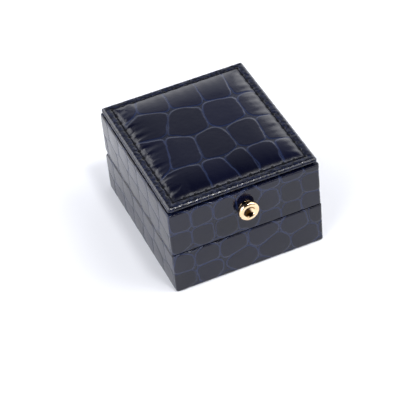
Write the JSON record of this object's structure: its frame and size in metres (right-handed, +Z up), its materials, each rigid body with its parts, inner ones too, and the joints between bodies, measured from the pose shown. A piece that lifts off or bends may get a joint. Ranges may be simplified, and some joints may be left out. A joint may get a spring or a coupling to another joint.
{
  "type": "pendant box",
  "caption": "Small hinged display box for a pendant, wrapped in crocodile-embossed leatherette, with a padded stitched lid and a push-button latch.",
  "frame": {"origin": "centre of the underside in plan, on the surface the box stands on", "axes": "+Z up through the lid; the push button faces -Y and the hinge is at +Y; the part is mirror-symmetric in X"},
  "size_m": [0.0538, 0.0637, 0.0374],
  "materials": {
    "leatherette": "glossy crocodile-embossed leatherette",
    "wood_board": "bare fibre board",
    "card": "grey board",
    "paper": "black backing paper",
    "satin": "ivory satin",
    "velvet": "ivory velvet",
    "foam": "soft foam",
    "gold_brass": "polished, pale gold plate",
    "hinge_brass": "satin brass",
    "spring_steel": "bright spring strip"
  },
  "bodies": {
    "base": {"base_carcass": "wood_board", "base_wrap": "leatherette", "underside_sheet": "paper", "base_liner_front": "satin", "base_liner_rear": "satin", "base_liner_left": "satin", "base_liner_right": "satin", "pad_riser": "card", "pad_board": "card", "pendant_pad": "velvet", "strike_plate": "hinge_brass", "strike_screws": "hinge_brass", "hinge_leaf_base": "hinge_brass", "hinge_pin": "spring_steel", "hinge_screws_base": "hinge_brass"},
    "lid": {"lid_carcass": "wood_board", "lid_wrap": "leatherette", "panel_board": "card", "panel_foam": "foam", "panel_cover": "leatherette", "lid_liner_front_left": "satin", "lid_liner_front_right": "satin", "lid_liner_rear": "satin", "lid_liner_left": "satin", "lid_liner_right": "satin", "lid_cushion_card": "card", "lid_cushion": "satin", "button_ferrule": "gold_brass", "latch_spring": "spring_steel", "latch_screws": "hinge_brass", "hinge_leaf_lid": "hinge_brass", "hinge_screws_lid": "hinge_brass"},
    "button": {"push_button": "gold_brass", "button_collar": "spring_steel"}
  },
  "joints": [
    {"name": "lid_hinge", "type": "hinge", "parent": "base", "child": "lid", "pos_m": [0, 0.0294, 0.0162], "axis": [-1, 0, 0], "range_deg": [0, 105]},
    {"name": "button_press", "type": "slide", "parent": "lid", "child": "button", "axis": [0, 1, 0], "range_m": [0, 0.0009], "stiffness_N_per_m": 1200, "springref_m": -0.0004, "deforming": ["latch_spring"]}
  ]
}
